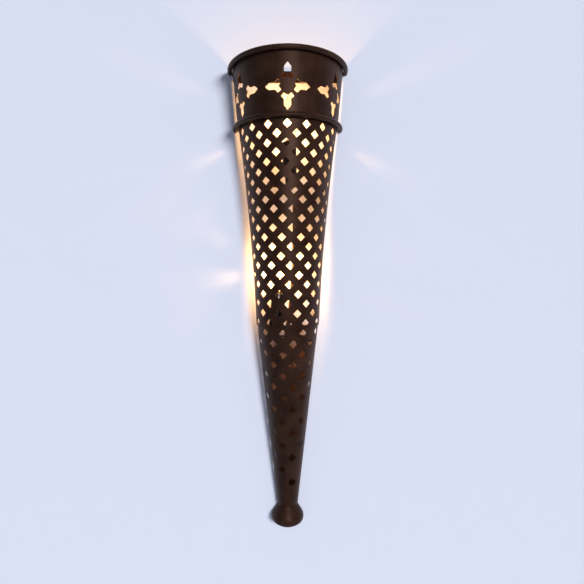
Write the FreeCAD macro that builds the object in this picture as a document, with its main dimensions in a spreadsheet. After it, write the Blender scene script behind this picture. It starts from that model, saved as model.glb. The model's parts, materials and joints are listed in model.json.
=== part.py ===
"""Torch sconce: a half-round punched sheet-metal shade on the wall, with two candle bulbs inside.

Millimetres. X runs right along the wall, Z up, and Y into the wall. The origin is the centre
of the top wall strap's back face, so the wall is the plane Y = 0 and the lamp lies at Y < 0.
"""
import FreeCAD, Part
import math
import os
import Sketcher

V = FreeCAD.Vector
UP = V(0, 0, 1)
SIZES = [
    # the wall strap at the top, which hangs the lamp
    ("strap_width", 19.0), ("strap_thickness", 3.0), ("strap_hole", 5.5),
    ("strap_hole_spacing", 88.9), ("tab_thickness", 2.5),
    # the collar band, between the two half-ring rods
    ("rim_height", 6.7), ("rim_radius", 92.0), ("seam_height", -89.4), ("seam_radius", 83.2),
    ("collar_lip", 3.0), ("rod_diameter", 7.8), ("rod_flats", 10),
    # the two perforated sheets below it
    ("knee_height", -413.0), ("knee_radius", 52.4), ("waist_radius", 63.5),
    ("tail_height", -710.0), ("tail_radius", 17.1), ("upper_lap", 8.0), ("lower_lap", 4.0),
    ("sheet_thickness", 1.2), ("lap_clearance", 0.15), ("edge_gap", 7.0), ("folds", 18),
    ("curve_levels", 5),
    # the square holes, punched on their corners: the first row lies this far below the sheet's
    # top, and each row a little further from the one above it than that one from its own
    ("punch_side", 9.5), ("punch_edge", 2.0),
    ("upper_first_row", 11.1), ("upper_row_pitch", 13.7), ("upper_row_growth", 0.082),
    ("upper_arc_pitch", 30.2), ("upper_start", -0.6), ("upper_lean", -0.7),
    ("upper_plain_end", 0.5),
    ("lower_first_row", 9.0), ("lower_row_pitch", 16.7), ("lower_row_growth", 0.38),
    ("lower_arc_pitch", 33.0), ("lower_start", -7.5), ("lower_lean", -0.15),
    ("lower_plain_end", 30.0),
    # the cross motifs cut in the collar: four petals each, measured outwards from the middle
    ("motif_height", -47.0), ("motif_spread", 58.0), ("side_petal_shift", 6.0),
    ("petal_notch", 13.3), ("petal_lobe", 9.6),
    ("petal_lobe_half", 5.9), ("petal_corner", 14.8), ("petal_corner_half", 10.0),
    ("petal_neck", 19.5), ("petal_neck_half", 5.2), ("petal_body", 28.0), ("petal_body_half", 5.5),
    ("petal_tip", 34.8),
    # the foot: a plate that closes the cone, and the half-round finial under it
    ("plate_thickness", 3.0), ("finial_neck_radius", 16.4), ("finial_neck", 2.5),
    ("finial_shoulder_radius", 22.8), ("finial_shoulder", 13.0),
    ("finial_cheek_radius", 25.4), ("finial_cheek", 18.0),
    ("finial_belly_radius", 26.5), ("finial_belly", 23.0),
    ("finial_hip_radius", 24.8), ("finial_hip", 30.0),
    ("finial_base_radius", 12.5), ("finial_base", 37.0), ("finial_point", 42.5),
    ("stud_diameter", 6.0), ("stud_depth", 14.0), ("stud_offset", -9.0), ("stud_end", 2.0),
    ("nut_flats", 10.0), ("nut_height", 5.0), ("thread_clearance", 0.05),
    # where the two sockets stand: their tops' centres, and how far the lower one leans
    ("upper_socket_x", 3.0), ("upper_socket_depth", -37.0), ("upper_socket_z", -118.5),
    ("lower_socket_x", -14.4), ("lower_socket_depth", -29.0), ("lower_socket_z", -359.0),
    ("lower_lean_angle", 5.0),
    # one socket, down from its top
    ("socket_diameter", 23.0), ("socket_body", 53.5), ("socket_bore_depth", 23.0),
    ("socket_taper", 3.0), ("socket_foot", 69.5), ("socket_foot_diameter", 14.0),
    ("socket_thread", 8.0), ("screw_shell_wall", 0.6), ("screw_shell_top", 1.0),
    ("screw_shell_length", 18.0), ("contact_width", 5.0), ("contact_thickness", 0.8),
    ("contact_clearance", 0.1),
    # the threaded nipple under it and the shelf that carries it
    ("nipple_slack", 1.05), ("nipple_wall", 1.3), ("nipple_end", 2.0), ("nipple_nut_flats", 13.0),
    ("nipple_nut_height", 3.0), ("shelf_thickness", 2.0), ("shelf_fold", 3), ("shelf_disc", 20.0),
    ("shelf_tab", 10.0),
    # one bulb, up from its socket's top
    ("base_diameter", 11.7), ("base_top", 3.0), ("base_bottom", -14.0), ("base_wall", 0.35),
    ("base_clearance", 0.08), ("insulator_bottom", -17.0), ("insulator_rim", 0.6),
    ("tip_bottom", -19.3), ("tip_diameter", 5.0), ("glass_foot", 3.5), ("glass_neck", 0.9),
    ("glass_diameter", 32.0), ("glass_belly", 26.0), ("glass_top", 80.5), ("glass_wall", 0.8),
    ("glass_steps", 2), ("stem_diameter", 5.0), ("stem_bottom", -11.0), ("stem_top", 20.0),
    ("lead_diameter", 0.8), ("lead_spread", 2.4), ("filament_height", 33.5),
    ("filament_half", 5.0), ("filament_rise", 5.0), ("filament_diameter", 0.7),
    ("filament_gap", 0.5),
    # the wiring between the sockets
    ("tube_sides", 6), ("wire_diameter", 1.6), ("wire_gap", 0.05), ("sleeve_slack", 0.25),
    ("sleeve_wall", 0.5), ("sleeve_x", 11.8), ("sleeve_drift", 20.0), ("sleeve_drop", 24.0),
    ("sleeve_tail", 26.0), ("connector_diameter", 9.0), ("connector_length", 18.0),
    ("connector_taper", 0.65), ("connector_sides", 8), ("connector_gap", 3.5),
    ("connector_drop", 32.0), ("connector_depth", -20.0), ("connector_lead", 9.0),
    ("connector_spread", 0.2), ("ground_screw_head", 7.0), ("ground_screw_height", 2.0),
    ("ground_screw_x", 14.0),
    # the blind rivets that hold the strap
    ("rivet_diameter", 3.2), ("rivet_head", 6.0), ("rivet_head_height", 1.2), ("rivet_tail", 4.8),
]

DOC = FreeCAD.newDocument("TorchSconce")
SHEET = DOC.addObject("Spreadsheet::Sheet", "lamp")
for row, (alias, number) in enumerate(SIZES, start=1):
    SHEET.set("A%d" % row, alias)
    SHEET.set("B%d" % row, str(number))
    SHEET.setAlias("B%d" % row, alias)
DOC.recompute()
PARTS = []

# lengths that several pieces share, as expressions of the sheet's cells
LAP = "(lamp.sheet_thickness + lamp.lap_clearance)"
BUNDLE = "(3 * lamp.wire_diameter + 2 * lamp.wire_gap)"
NIPPLE_BORE = "(%s + 2 * lamp.nipple_slack)" % BUNDLE
NIPPLE = "(%s + 2 * lamp.nipple_wall)" % NIPPLE_BORE
BELOW_SOCKET = "(lamp.socket_foot + lamp.shelf_thickness + lamp.nipple_nut_height)"


def size(expression):
    """The number that an expression gives, such as 'lamp.rim_radius / 2'."""
    return float(SHEET.evalExpression(expression))


def part(thing, label):
    """Names a finished sub-part and keeps it for the export."""
    thing.Label = label
    PARTS.append(thing)
    return thing


def feature(name, shape, place=None):
    """A plain feature that holds a shape worked out from the sheet."""
    thing = DOC.addObject("Part::Feature", name)
    thing.Shape = shape
    if place is not None:
        thing.Placement = place
    return thing


def cut(name, base, tool):
    """Base less tool."""
    thing = DOC.addObject("Part::Cut", name)
    thing.Base = base
    thing.Tool = tool
    return thing


def fuse(name, things):
    """Several shapes as one."""
    thing = DOC.addObject("Part::MultiFuse", name)
    thing.Shapes = things
    thing.Refine = True
    return thing


def drill(diameter, length, start, direction=UP):
    """The tool for a round hole, as wide as an expression says."""
    return Part.makeCylinder(size(diameter) / 2, length, start, direction)


# ---- sketches ----------------------------------------------------------------------------

def sketch_on(body, role, name):
    """An empty sketch on one of the body's own planes."""
    sketch = body.newObject("Sketcher::SketchObject", name)
    plane = [item for item in body.Origin.OriginFeatures if item.Role == role][0]
    sketch.AttachmentSupport = [(plane, "")]
    sketch.MapMode = "FlatFace"
    return sketch


def hold(sketch, geometry, point, across, along):
    """Ties one point of a sketch to two expressions, measured from the sketch's origin."""
    for kind, expression in (("DistanceX", across), ("DistanceY", along)):
        constraint = Sketcher.Constraint(kind, -1, 1, geometry, point, size(expression))
        index = sketch.addConstraint(constraint)
        sketch.setExpression("Constraints[%d]" % index, expression)


def add_outline(sketch, corners):
    """A closed outline of straight edges through corners given as pairs of expressions."""
    first = len(sketch.Geometry)
    points = [V(size(across), size(along), 0) for across, along in corners]
    for start, end in zip(points, points[1:] + points[:1]):
        sketch.addGeometry(Part.LineSegment(start, end), False)
    for step in range(len(points)):
        after = first + (step + 1) % len(points)
        sketch.addConstraint(Sketcher.Constraint("Coincident", first + step, 2, after, 1))
    for step, (across, along) in enumerate(corners):
        hold(sketch, first + step, 1, across, along)


def add_circle(sketch, across, along, diameter):
    """A circle held by its centre and its diameter."""
    centre = V(size(across), size(along), 0)
    index = sketch.addGeometry(Part.Circle(centre, UP, size(diameter) / 2), False)
    hold(sketch, index, 3, across, along)
    ring = sketch.addConstraint(Sketcher.Constraint("Diameter", index, size(diameter)))
    sketch.setExpression("Constraints[%d]" % ring, diameter)


def turned(name, corners, place=None, half=False):
    """A body turned about its own Z axis from an outline in the XZ plane. A half turn stays on
    the room's side of the wall."""
    body = DOC.addObject("PartDesign::Body", name)
    sketch = sketch_on(body, "XZ_Plane", name + "_outline")
    add_outline(sketch, corners)
    turn = body.newObject("PartDesign::Revolution", name + "_turn")
    turn.Profile = sketch
    turn.ReferenceAxis = (sketch, ["V_Axis"])
    turn.Angle = 180 if half else 360
    DOC.recompute()
    if half and body.Shape.CenterOfMass.y > 0:
        turn.Reversed = True
    if place is not None:
        body.Placement = place
    return body


def tube_outline(inner, outer, bottom, top):
    """The outline of a plain tube, for turning."""
    return [(inner, bottom), (outer, bottom), (outer, top), (inner, top)]


# ---- the folded sheets -------------------------------------------------------------------
# The shade is half round: each sheet is folded in equal flats about the axis x = 0, y = 0,
# from fold 0 at the wall on the right to the last fold at the wall on the left.

FOLDS = int(size("lamp.folds"))
FLAT = math.pi / FOLDS
MIDDLE = math.cos(FLAT / 2)
CORNER = 1 / math.sqrt(MIDDLE)
THROUGH = size("5 * lamp.sheet_thickness")


def fold_point(radius, fold, height):
    """A sheet's corner: the flats' middles lie as far inside the radius as the corners outside."""
    reach = radius * CORNER
    return V(reach * math.cos(fold * FLAT), -reach * math.sin(fold * FLAT), height)


def flat_face(*points):
    """A flat face through its corners."""
    return Part.Face(Part.makePolygon(list(points) + [points[0]]))


def folded_shell(levels, thickness, first=0, last=FOLDS):
    """A folded sheet through levels of (height, outer radius), from one fold to another."""
    sides = []
    for depth in (0, thickness):
        sides.append([[fold_point(radius - depth, fold, height) for fold in range(first, last + 1)]
                      for height, radius in levels])
    outer, inner = sides
    faces = []
    for side in sides:
        for high, low in zip(side, side[1:]):
            for here in range(last - first):
                faces.append(flat_face(high[here], high[here + 1], low[here + 1], low[here]))
    for out, back in ((outer[0], inner[0]), (outer[-1], inner[-1])):
        for here in range(last - first):
            faces.append(flat_face(out[here], out[here + 1], back[here + 1], back[here]))
    for step in range(len(levels) - 1):
        for here in (0, last - first):
            faces.append(flat_face(outer[step][here], inner[step][here],
                                   inner[step + 1][here], outer[step + 1][here]))
    return Part.Solid(Part.Shell(faces))


def clear_of_wall(shape):
    """Trims a sheet's two long edges so that they stand off the wall."""
    reach = size("2 * (lamp.rim_radius + lamp.rim_height - lamp.tail_height)")
    corner = V(-reach, -size("lamp.edge_gap"), -reach)
    return shape.cut(Part.makeBox(2 * reach, reach, 2 * reach, corner))


def between(levels, height):
    """The radius at a height on a profile of (height, radius) levels, top first."""
    for (high, above), (low, below) in zip(levels, levels[1:]):
        if high >= height >= low:
            return above + (below - above) * (height - high) / (low - high)
    raise ValueError("height off the profile: %s" % height)


def collar_levels():
    """The collar tapers evenly, and its lips run past the two rods."""
    rim, seam, lip = [size("lamp." + name) for name in ("rim_height", "seam_height", "collar_lip")]
    slope = size("(lamp.rim_radius - lamp.seam_radius) / (lamp.rim_height - lamp.seam_height)")
    return [(rim + lip, size("lamp.rim_radius") + slope * lip),
            (seam - lip, size("lamp.seam_radius") - slope * lip)]


def upper_levels():
    """The upper cone starts behind the collar and bows inwards: its radius follows a parabola
    from the collar's lip to the knee."""
    collar = collar_levels()
    lap_top = size("lamp.seam_height + lamp.upper_lap")
    lip = collar[-1][0]
    start = collar[-1][1] - size(LAP)
    end, bottom = size("lamp.knee_radius"), size("lamp.knee_height")
    bow = size("2 * (lamp.seam_radius - %s + lamp.knee_radius) - 4 * lamp.waist_radius" % LAP)
    levels = [(lap_top, between(collar, lap_top) - size(LAP)), (lip, start)]
    steps = int(size("lamp.curve_levels"))
    for step in range(1, steps + 1):
        share = step / steps
        radius = start + (end - start) * share - bow * share * (1 - share)
        levels.append((lip + (bottom - lip) * share, radius))
    return levels


def lower_levels():
    """The lower cone is straight, and its top edge is tucked behind the upper sheet's."""
    upper = upper_levels()
    knee, lap = size("lamp.knee_height"), size("lamp.lower_lap")
    tucked = [(height, between(upper, height) - size(LAP)) for height in (knee + lap, knee)]
    return tucked + [(size("lamp.tail_height"), size("lamp.tail_radius"))]


def around(shape, angle):
    """A tool made at the front of the lamp, turned about the lamp's axis."""
    shape.rotate(V(0, 0, 0), UP, math.degrees(angle))
    return shape


def punch(radius, height, arc):
    """The tool for one square hole on its corner, at an arc length from the front."""
    side = size("lamp.punch_side")
    tool = Part.makeBox(side, 2 * THROUGH, side, V(-side / 2, -THROUGH, -side / 2))
    tool.rotate(V(0, 0, 0), V(0, 1, 0), 45)
    tool.translate(V(0, -radius, height))
    return around(tool, arc / radius)


def punches(levels, sheet, top, bottom):
    """One sheet's punches, in staggered rows of equal arc pitch, as many as its height takes."""
    half = size("lamp.punch_side / sqrt(2)")
    arc, pitch = size("lamp.%s_arc_pitch" % sheet), size("lamp.%s_row_pitch" % sheet)
    lowest = bottom + half + size("lamp.%s_plain_end" % sheet)
    heights = [top - size("lamp.%s_first_row" % sheet)]
    while heights[-1] - pitch > lowest:
        heights.append(heights[-1] - pitch)
        pitch += size("lamp.%s_row_growth" % sheet)
    tools = []
    for row, height in enumerate(heights):
        radius = between(levels, height)
        edge = radius * math.acos(size("lamp.edge_gap") / radius) - half - size("lamp.punch_edge")
        start = size("lamp.%s_start + %d * lamp.%s_lean" % (sheet, row, sheet)) + row % 2 * arc / 2
        columns = int(edge / arc) + 1
        places = [start + column * arc for column in range(-columns, columns + 1)]
        tools += [punch(radius, height, place) for place in places if abs(place) < edge]
    return tools


def petal(radius):
    """The tool for one petal, lying to the right of a motif's middle: a heart-shaped foot, a
    neck and a pointed body. It is made about its own middle, at the front."""
    half = [("notch", None), ("lobe", "lobe_half"), ("corner", "corner_half"),
            ("neck", "neck_half"), ("body", "body_half"), ("tip", None)]
    middle = size("(lamp.petal_notch + lamp.petal_tip) / 2")
    right = [(size("lamp.petal_" + out) - middle, size("lamp.petal_" + side) if side else 0.0)
             for out, side in half]
    outline = right + [(out, -side) for out, side in right[-2:0:-1]]
    points = [V(out, -radius - THROUGH, side) for out, side in outline]
    return flat_face(*points).extrude(V(0, 2 * THROUGH, 0))


def petals():
    """The collar's cross motifs, whose petals are cut square to the sheet. The side motifs'
    petals nearest the front stand a little further out."""
    height = size("lamp.motif_height")
    radius = between(collar_levels(), height)
    out = size("(lamp.petal_notch + lamp.petal_tip) / 2")
    tools = []
    for motif in (-1, 0, 1):
        for quarter, (across, along) in enumerate(((1, 0), (0, 1), (-1, 0), (0, -1))):
            tool = petal(radius)
            tool.rotate(V(0, 0, 0), V(0, 1, 0), -90 * quarter)
            tool.translate(V(0, 0, height + along * out))
            further = size("lamp.side_petal_shift") if across * motif < 0 else 0.0
            turn = across * (out + further) / radius + motif * math.radians(size("lamp.motif_spread"))
            tools.append(around(tool, turn))
    return tools


def make_sheets():
    """The collar band and the two perforated cones: folded blanks, punched and drilled."""
    seam, knee, tail = [size("lamp." + name) for name in ("seam_height", "knee_height", "tail_height")]
    collar, upper, lower = collar_levels(), upper_levels(), lower_levels()
    for label, levels, tools in (
            ("collar_band", collar, petals() + strap_rivet_drills()),
            ("upper_perforated_cone", upper, punches(upper, "upper", seam, knee)),
            ("lower_perforated_cone", lower, punches(lower, "lower", knee, tail))):
        blank = folded_shell(levels, size("lamp.sheet_thickness"))
        tool = feature(label + "_punches", Part.makeCompound(tools))
        part(cut(label + "_cut", feature(label + "_blank", clear_of_wall(blank)), tool), label)


# ---- rods, strap and rivets --------------------------------------------------------------

def make_rod(label, height, radius):
    """A half-ring of round bar, close round the sheet's folds, with both ends at the wall.
    The bar is drawn with a few flats, as wide across them as the round bar."""
    flats = int(size("lamp.rod_flats"))
    slope = "abs(lamp.rim_radius - lamp.seam_radius) / (lamp.rim_height - lamp.seam_height)"
    seat = "lamp.rod_diameter / 2 * (1 + %r * %s)" % (math.tan(math.pi / flats), slope)
    middle = "%s * %r + %s + lamp.lap_clearance" % (radius, CORNER, seat)
    corners = []
    for corner in range(flats):
        angle = 2 * math.pi * (corner + 0.5) / flats
        reach = "lamp.rod_diameter / 2 / %r" % math.cos(math.pi / flats)
        corners.append(("%s + %s * %r" % (middle, reach, math.cos(angle)),
                        "%s + %s * %r" % (height, reach, math.sin(angle))))
    part(turned(label + "_body", corners, half=True), label)


def rivet_places():
    """Centre and outward direction of each strap rivet, on the flats next to the wall."""
    collar = collar_levels()
    (top, top_radius), (low, low_radius) = collar
    slope = (top_radius - low_radius) / (top - low) * CORNER * MIDDLE
    reach = -size("lamp.edge_gap + lamp.rim_radius * %r" % math.sin(FLAT)) / 2
    for side in (1, -1):
        level = V(side * MIDDLE, -math.sin(FLAT / 2), 0)
        along = V(side * math.sin(FLAT / 2), MIDDLE, 0)
        centre = level * (between(collar, 0) * CORNER * MIDDLE)
        yield centre + along * ((reach - centre.y) / along.y), (level - UP * slope).normalize()


def strap_rivet_drills():
    """The tools that drill the collar and the strap's tabs for their rivets."""
    diameter = "lamp.rivet_diameter + 2 * lamp.thread_clearance"
    return [drill(diameter, 2 * THROUGH, centre - out * THROUGH, out) for centre, out in rivet_places()]


def make_strap():
    """The flat bar across the back, with its two ends folded forward inside the collar."""
    half = size("lamp.strap_width / 2")
    levels = [(height, between(collar_levels(), height) - size(LAP)) for height in (half, -half)]
    # the bar's square corners stop inside the tabs, which lean with the collar
    reach = levels[-1][1] - size("lamp.tab_thickness / 2")
    body = DOC.addObject("PartDesign::Body", "strap_bar")
    sketch = sketch_on(body, "XZ_Plane", "strap_bar_outline")
    add_outline(sketch, [("%r" % across, "%d * lamp.strap_width / 2" % along)
                         for across, along in ((-reach, -1), (reach, -1), (reach, 1), (-reach, 1))])
    for side in (-1, 1):
        add_circle(sketch, "%d * lamp.strap_hole_spacing / 2" % side, "0", "lamp.strap_hole")
    pad = body.newObject("PartDesign::Pad", "strap_bar_pad")
    pad.Profile = sketch
    pad.setExpression("Length", "lamp.strap_thickness")
    tabs = [feature("strap_tab_" + word, folded_shell(levels, size("lamp.tab_thickness"), fold, fold + 1))
            for word, fold in (("right", 0), ("left", FOLDS - 1))]
    drills = feature("strap_drills", Part.makeCompound(strap_rivet_drills()))
    part(cut("strap_cut", fuse("strap_blank", [body] + tabs), drills), "top_wall_strap")


def make_rivets():
    """Blind rivets that hold the strap's tabs in the collar, all in one group."""
    grip = size("%s + lamp.tab_thickness" % LAP)
    rise = size("lamp.rivet_head_height")
    shank, head, tail = [size("lamp.rivet_%s / 2" % name) for name in ("diameter", "head", "tail")]
    outline = [V(0, 0, -grip - rise), V(tail, 0, -grip - rise), V(tail, 0, -grip), V(shank, 0, -grip),
               V(shank, 0, 0), V(head, 0, 0), V(head, 0, rise), V(0, 0, rise)]
    rivets = []
    for centre, outward in rivet_places():
        rivet = flat_face(*outline).revolve(V(0, 0, 0), UP, 360)
        rivet.Placement = FreeCAD.Placement(centre, FreeCAD.Rotation(UP, outward))
        rivets.append(rivet)
    part(feature("strap_rivet_group", Part.makeCompound(rivets)), "strap_rivets")


# ---- foot and finial ---------------------------------------------------------------------

def make_foot_plate():
    """The half-round plate in the cone's foot, drilled for the finial's stud."""
    tail, thickness = size("lamp.tail_height"), size("lamp.plate_thickness")
    inner = size("lamp.tail_radius - %s" % LAP)
    rim = [fold_point(inner, fold, tail) for fold in range(FOLDS + 1)]
    blank = feature("foot_plate_blank", flat_face(*rim).extrude(V(0, 0, thickness)))
    hole = drill("lamp.stud_diameter + 2 * lamp.thread_clearance", 3 * thickness,
                 V(0, size("lamp.stud_offset"), tail - thickness))
    part(cut("foot_plate_cut", blank, feature("foot_plate_drill", hole)), "foot_plate")


def finial_outline():
    """Straight shoulders out to a round belly, a shallow underside and a blunt point."""
    names = ("neck", "shoulder", "cheek", "belly", "hip", "base")
    corners = [("lamp.finial_%s_radius" % name, "-lamp.finial_" + name) for name in names]
    return [("0", "0"), ("lamp.finial_neck_radius", "0")] + corners + [("0", "-lamp.finial_point")]


def make_finial():
    """The half-round finial, with the stud in it and the nut that holds it under the plate."""
    tail, depth = size("lamp.tail_height"), size("lamp.stud_depth")
    thickness, offset = size("lamp.plate_thickness"), size("lamp.stud_offset")
    foot = FreeCAD.Placement(V(0, 0, tail), FreeCAD.Rotation())
    ball = turned("finial_ball", finial_outline(), foot, half=True)
    bore = "lamp.stud_diameter + 2 * lamp.thread_clearance"
    socket = drill(bore, depth + thickness, V(0, offset, tail - depth))
    part(cut("finial_cut", ball, feature("finial_drill", socket)), "finial")

    stud = DOC.addObject("Part::Cylinder", "finial_stud_bar")
    stud.setExpression("Radius", "lamp.stud_diameter / 2")
    stud.setExpression("Height", "lamp.stud_depth + lamp.plate_thickness + lamp.nut_height + lamp.stud_end")
    stud.Placement.Base = V(0, offset, tail - depth)
    part(stud, "finial_stud")
    above_plate = FreeCAD.Placement(V(0, offset, tail + thickness), FreeCAD.Rotation())
    make_nut("finial_nut", "lamp.nut_flats", "lamp.nut_height", bore, above_plate)


def prism(sides, radius, height):
    """An upright prism with a flat facing each side."""
    corners = []
    for corner in range(sides):
        angle = 2 * math.pi * (corner + 0.5) / sides
        corners.append(V(radius * math.cos(angle), radius * math.sin(angle), 0))
    return flat_face(*corners).extrude(V(0, 0, height))


def make_nut(label, flats, height, bore, place):
    """A hexagon nut."""
    blank = prism(6, size(flats) / 2 / math.cos(math.pi / 6), size(height))
    nut = blank.cut(drill(bore, 3 * size(height), V(0, 0, -size(height))))
    part(feature(label + "_body", nut, place), label)


# ---- sockets -----------------------------------------------------------------------------

def socket_place(which):
    """Where a socket stands: its top's centre is the local origin and its mouth faces local +Z."""
    angle = size("lamp.lower_lean_angle") if which == "lower" else 0.0
    base = V(*[size("lamp.%s_socket_%s" % (which, way)) for way in ("x", "depth", "z")])
    return FreeCAD.Placement(base, FreeCAD.Rotation(V(0, 1, 0), angle))


def lifted(place, height):
    """A place further along its own Z axis."""
    return place.multiply(FreeCAD.Placement(V(0, 0, height), FreeCAD.Rotation()))


def make_socket(which):
    """A candle socket: its body, screw shell, centre contact, threaded nipple and nut."""
    place = socket_place(which)
    shell_inner = "lamp.base_diameter / 2 + lamp.base_clearance"
    shell_outer = "(%s + lamp.screw_shell_wall)" % shell_inner
    bore = "(%s + lamp.thread_clearance)" % shell_outer
    body, foot = "lamp.socket_diameter / 2", "lamp.socket_foot_diameter / 2"
    nipple, nipple_top = NIPPLE + " / 2", "-lamp.socket_foot + lamp.socket_thread"
    thread = nipple + " + lamp.thread_clearance"
    corners = [(bore, "0"), (body, "0"), (body, "-lamp.socket_body"),
               (foot, "-lamp.socket_body - lamp.socket_taper"), (foot, "-lamp.socket_foot"),
               (thread, "-lamp.socket_foot"), (thread, nipple_top), ("0", nipple_top),
               ("0", "-lamp.socket_bore_depth"), (bore, "-lamp.socket_bore_depth")]
    part(turned(which + "_body", corners, place), which + "_socket_body")
    liner = tube_outline(shell_inner, shell_outer, "-lamp.screw_shell_length", "-lamp.screw_shell_top")
    part(turned(which + "_liner", liner, place), which + "_screw_shell")

    floor, broad, narrow = "-lamp.socket_bore_depth", "lamp.contact_width / 2", "lamp.contact_width / 3"
    step = floor + " + lamp.contact_thickness"
    corners = [("0", floor), (broad, floor), (broad, step), (narrow, step),
               (narrow, "lamp.tip_bottom - lamp.contact_clearance"),
               ("0", "lamp.tip_bottom - lamp.contact_clearance")]
    part(turned(which + "_button", corners, place), which + "_centre_contact")

    pipe = tube_outline(NIPPLE_BORE + " / 2", nipple, "-%s - lamp.nipple_end" % BELOW_SOCKET, nipple_top)
    part(turned(which + "_pipe", pipe, place), which + "_nipple")
    make_nut(which + "_nipple_nut", "lamp.nipple_nut_flats", "lamp.nipple_nut_height",
             "%s + 2 * lamp.thread_clearance" % NIPPLE, lifted(place, -size(BELOW_SOCKET)))


def make_shelf(which):
    """A bar across the shade under a socket, its ends folded down against the sheet's flats. A
    disc set in the bar at the socket's lean seats the socket's foot and its nut."""
    place = socket_place(which)
    thickness, fold = size("lamp.shelf_thickness"), int(size("lamp.shelf_fold"))
    top = place.multVec(V(0, 0, -size("lamp.socket_foot"))).z
    levels = upper_levels() if top > size("lamp.knee_height") else lower_levels()
    wall = [(height, between(levels, height) - size(LAP)) for height in (top, top - size("lamp.shelf_tab"))]
    # the bar's square edge stops inside the tabs, which lean with the sheet
    bar_radius = wall[-1][1] - thickness / 4
    right = [fold_point(bar_radius, end, top - thickness) for end in (fold, fold + 1)]
    left = [V(-point.x, point.y, point.z) for point in reversed(right)]
    bar = flat_face(*(right + left)).extrude(V(0, 0, thickness))

    seat = lifted(place, -size("lamp.socket_foot") - thickness)
    well = drill("lamp.shelf_disc - lamp.shelf_thickness / 2", 5 * thickness, V(0, 0, -2 * thickness))
    well.Placement = seat
    disc = drill("lamp.shelf_disc", thickness, V(0, 0, 0))
    disc.Placement = seat
    tabs = [folded_shell(wall, thickness, start, start + 1) for start in (fold, FOLDS - fold - 1)]
    pieces = [feature("%s_shelf_%s" % (which, word), shape)
              for word, shape in zip(("bar", "disc", "right", "left"), [bar.cut(well), disc] + tabs)]
    hole = drill("%s + 2 * lamp.thread_clearance" % NIPPLE, 5 * thickness, V(0, 0, -2 * thickness))
    hole.Placement = seat
    blank = fuse(which + "_shelf_blank", pieces)
    part(cut(which + "_shelf_cut", blank, feature(which + "_shelf_drill", hole)), which + "_socket_shelf")


# ---- bulbs -------------------------------------------------------------------------------

def make_bulb_base(which, place):
    """The bulb's screw base, the insulator in its foot and the solder tip in the insulator."""
    outer, inner = "lamp.base_diameter / 2", "lamp.base_diameter / 2 - lamp.base_wall"
    cap = tube_outline(inner, outer, "lamp.base_bottom", "lamp.base_top")
    part(turned(which + "_cap", cap, place), which + "_bulb_base")

    pin = "lamp.tip_diameter / 4"
    hole = pin + " + lamp.thread_clearance"
    rim = "lamp.tip_diameter / 2 + lamp.insulator_rim"
    corners = [(hole, "lamp.insulator_bottom"), (rim, "lamp.insulator_bottom"),
               (inner, "lamp.base_bottom"), (hole, "lamp.base_bottom")]
    part(turned(which + "_ring", corners, place), which + "_bulb_insulator")

    corners = [("0", "lamp.tip_bottom"), (pin, "lamp.tip_bottom"),
               ("lamp.tip_diameter / 2", "lamp.insulator_bottom"), (pin, "lamp.insulator_bottom"),
               (pin, "lamp.base_bottom"), ("0", "lamp.base_bottom")]
    part(turned(which + "_solder", corners, place), which + "_bulb_tip")


def glass_outline():
    """A candle bulb's wall: it swells from the neck to the belly and narrows to a point, each by
    a quarter of a sine wave."""
    steps = int(size("lamp.glass_steps"))
    belly, neck = "lamp.glass_diameter / 2", "(lamp.base_diameter / 2 + lamp.glass_neck)"
    shape = []
    for step in range(steps):
        share = step / steps
        shape.append(("%s + (%s - %s) * %r" % (neck, belly, neck, math.sin(math.pi / 2 * share)),
                      "lamp.glass_foot + (lamp.glass_belly - lamp.glass_foot) * %r" % share))
    for step in range(steps + 1):
        share = step / (steps + 1)
        shape.append(("%s * %r" % (belly, math.cos(math.pi / 2 * share)),
                      "lamp.glass_belly + (lamp.glass_top - lamp.glass_belly) * %r" % share))
    inside = [(across + " - lamp.glass_wall", along) for across, along in shape[1:]]
    floor = "lamp.glass_foot + lamp.glass_wall"
    hole = "lamp.stem_diameter / 2 + lamp.thread_clearance"
    tip = [("0", "lamp.glass_top"), ("0", "lamp.glass_top - 2 * lamp.glass_wall")]
    foot = [(neck + " - lamp.glass_wall", floor), (hole, floor)]
    return [(hole, "lamp.glass_foot")] + shape + tip + inside[::-1] + foot


def make_bulb(which):
    """A clear candle bulb: screw base, insulator, tip, glass, stem, two leads and the filament."""
    place = socket_place(which)
    make_bulb_base(which, place)
    part(turned(which + "_envelope", glass_outline(), place), which + "_bulb_glass")
    pinch = tube_outline("0", "lamp.stem_diameter / 2", "lamp.stem_bottom", "lamp.stem_top")
    part(turned(which + "_pinch", pinch, place), which + "_bulb_stem")

    reach, height = size("lamp.filament_half"), size("lamp.filament_height")
    foot, apart = size("lamp.stem_top + lamp.lead_diameter / 4"), size("lamp.lead_spread / 2")
    leads = []
    for side in (-1, 1):
        run = V(side * (reach - apart), 0, height - foot)
        leads.append(drill("lamp.lead_diameter", run.Length, V(side * apart, 0, foot), run))
    part(feature(which + "_leads", Part.makeCompound(leads), place), which + "_bulb_leads")
    above = height + size("lamp.filament_gap")
    points = [V(-reach, 0, above), V(0, 0, height + size("lamp.filament_rise")), V(reach, 0, above)]
    part(feature(which + "_coil", tube(points, "lamp.filament_diameter"), place), which + "_bulb_filament")


# ---- wires -------------------------------------------------------------------------------

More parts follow.
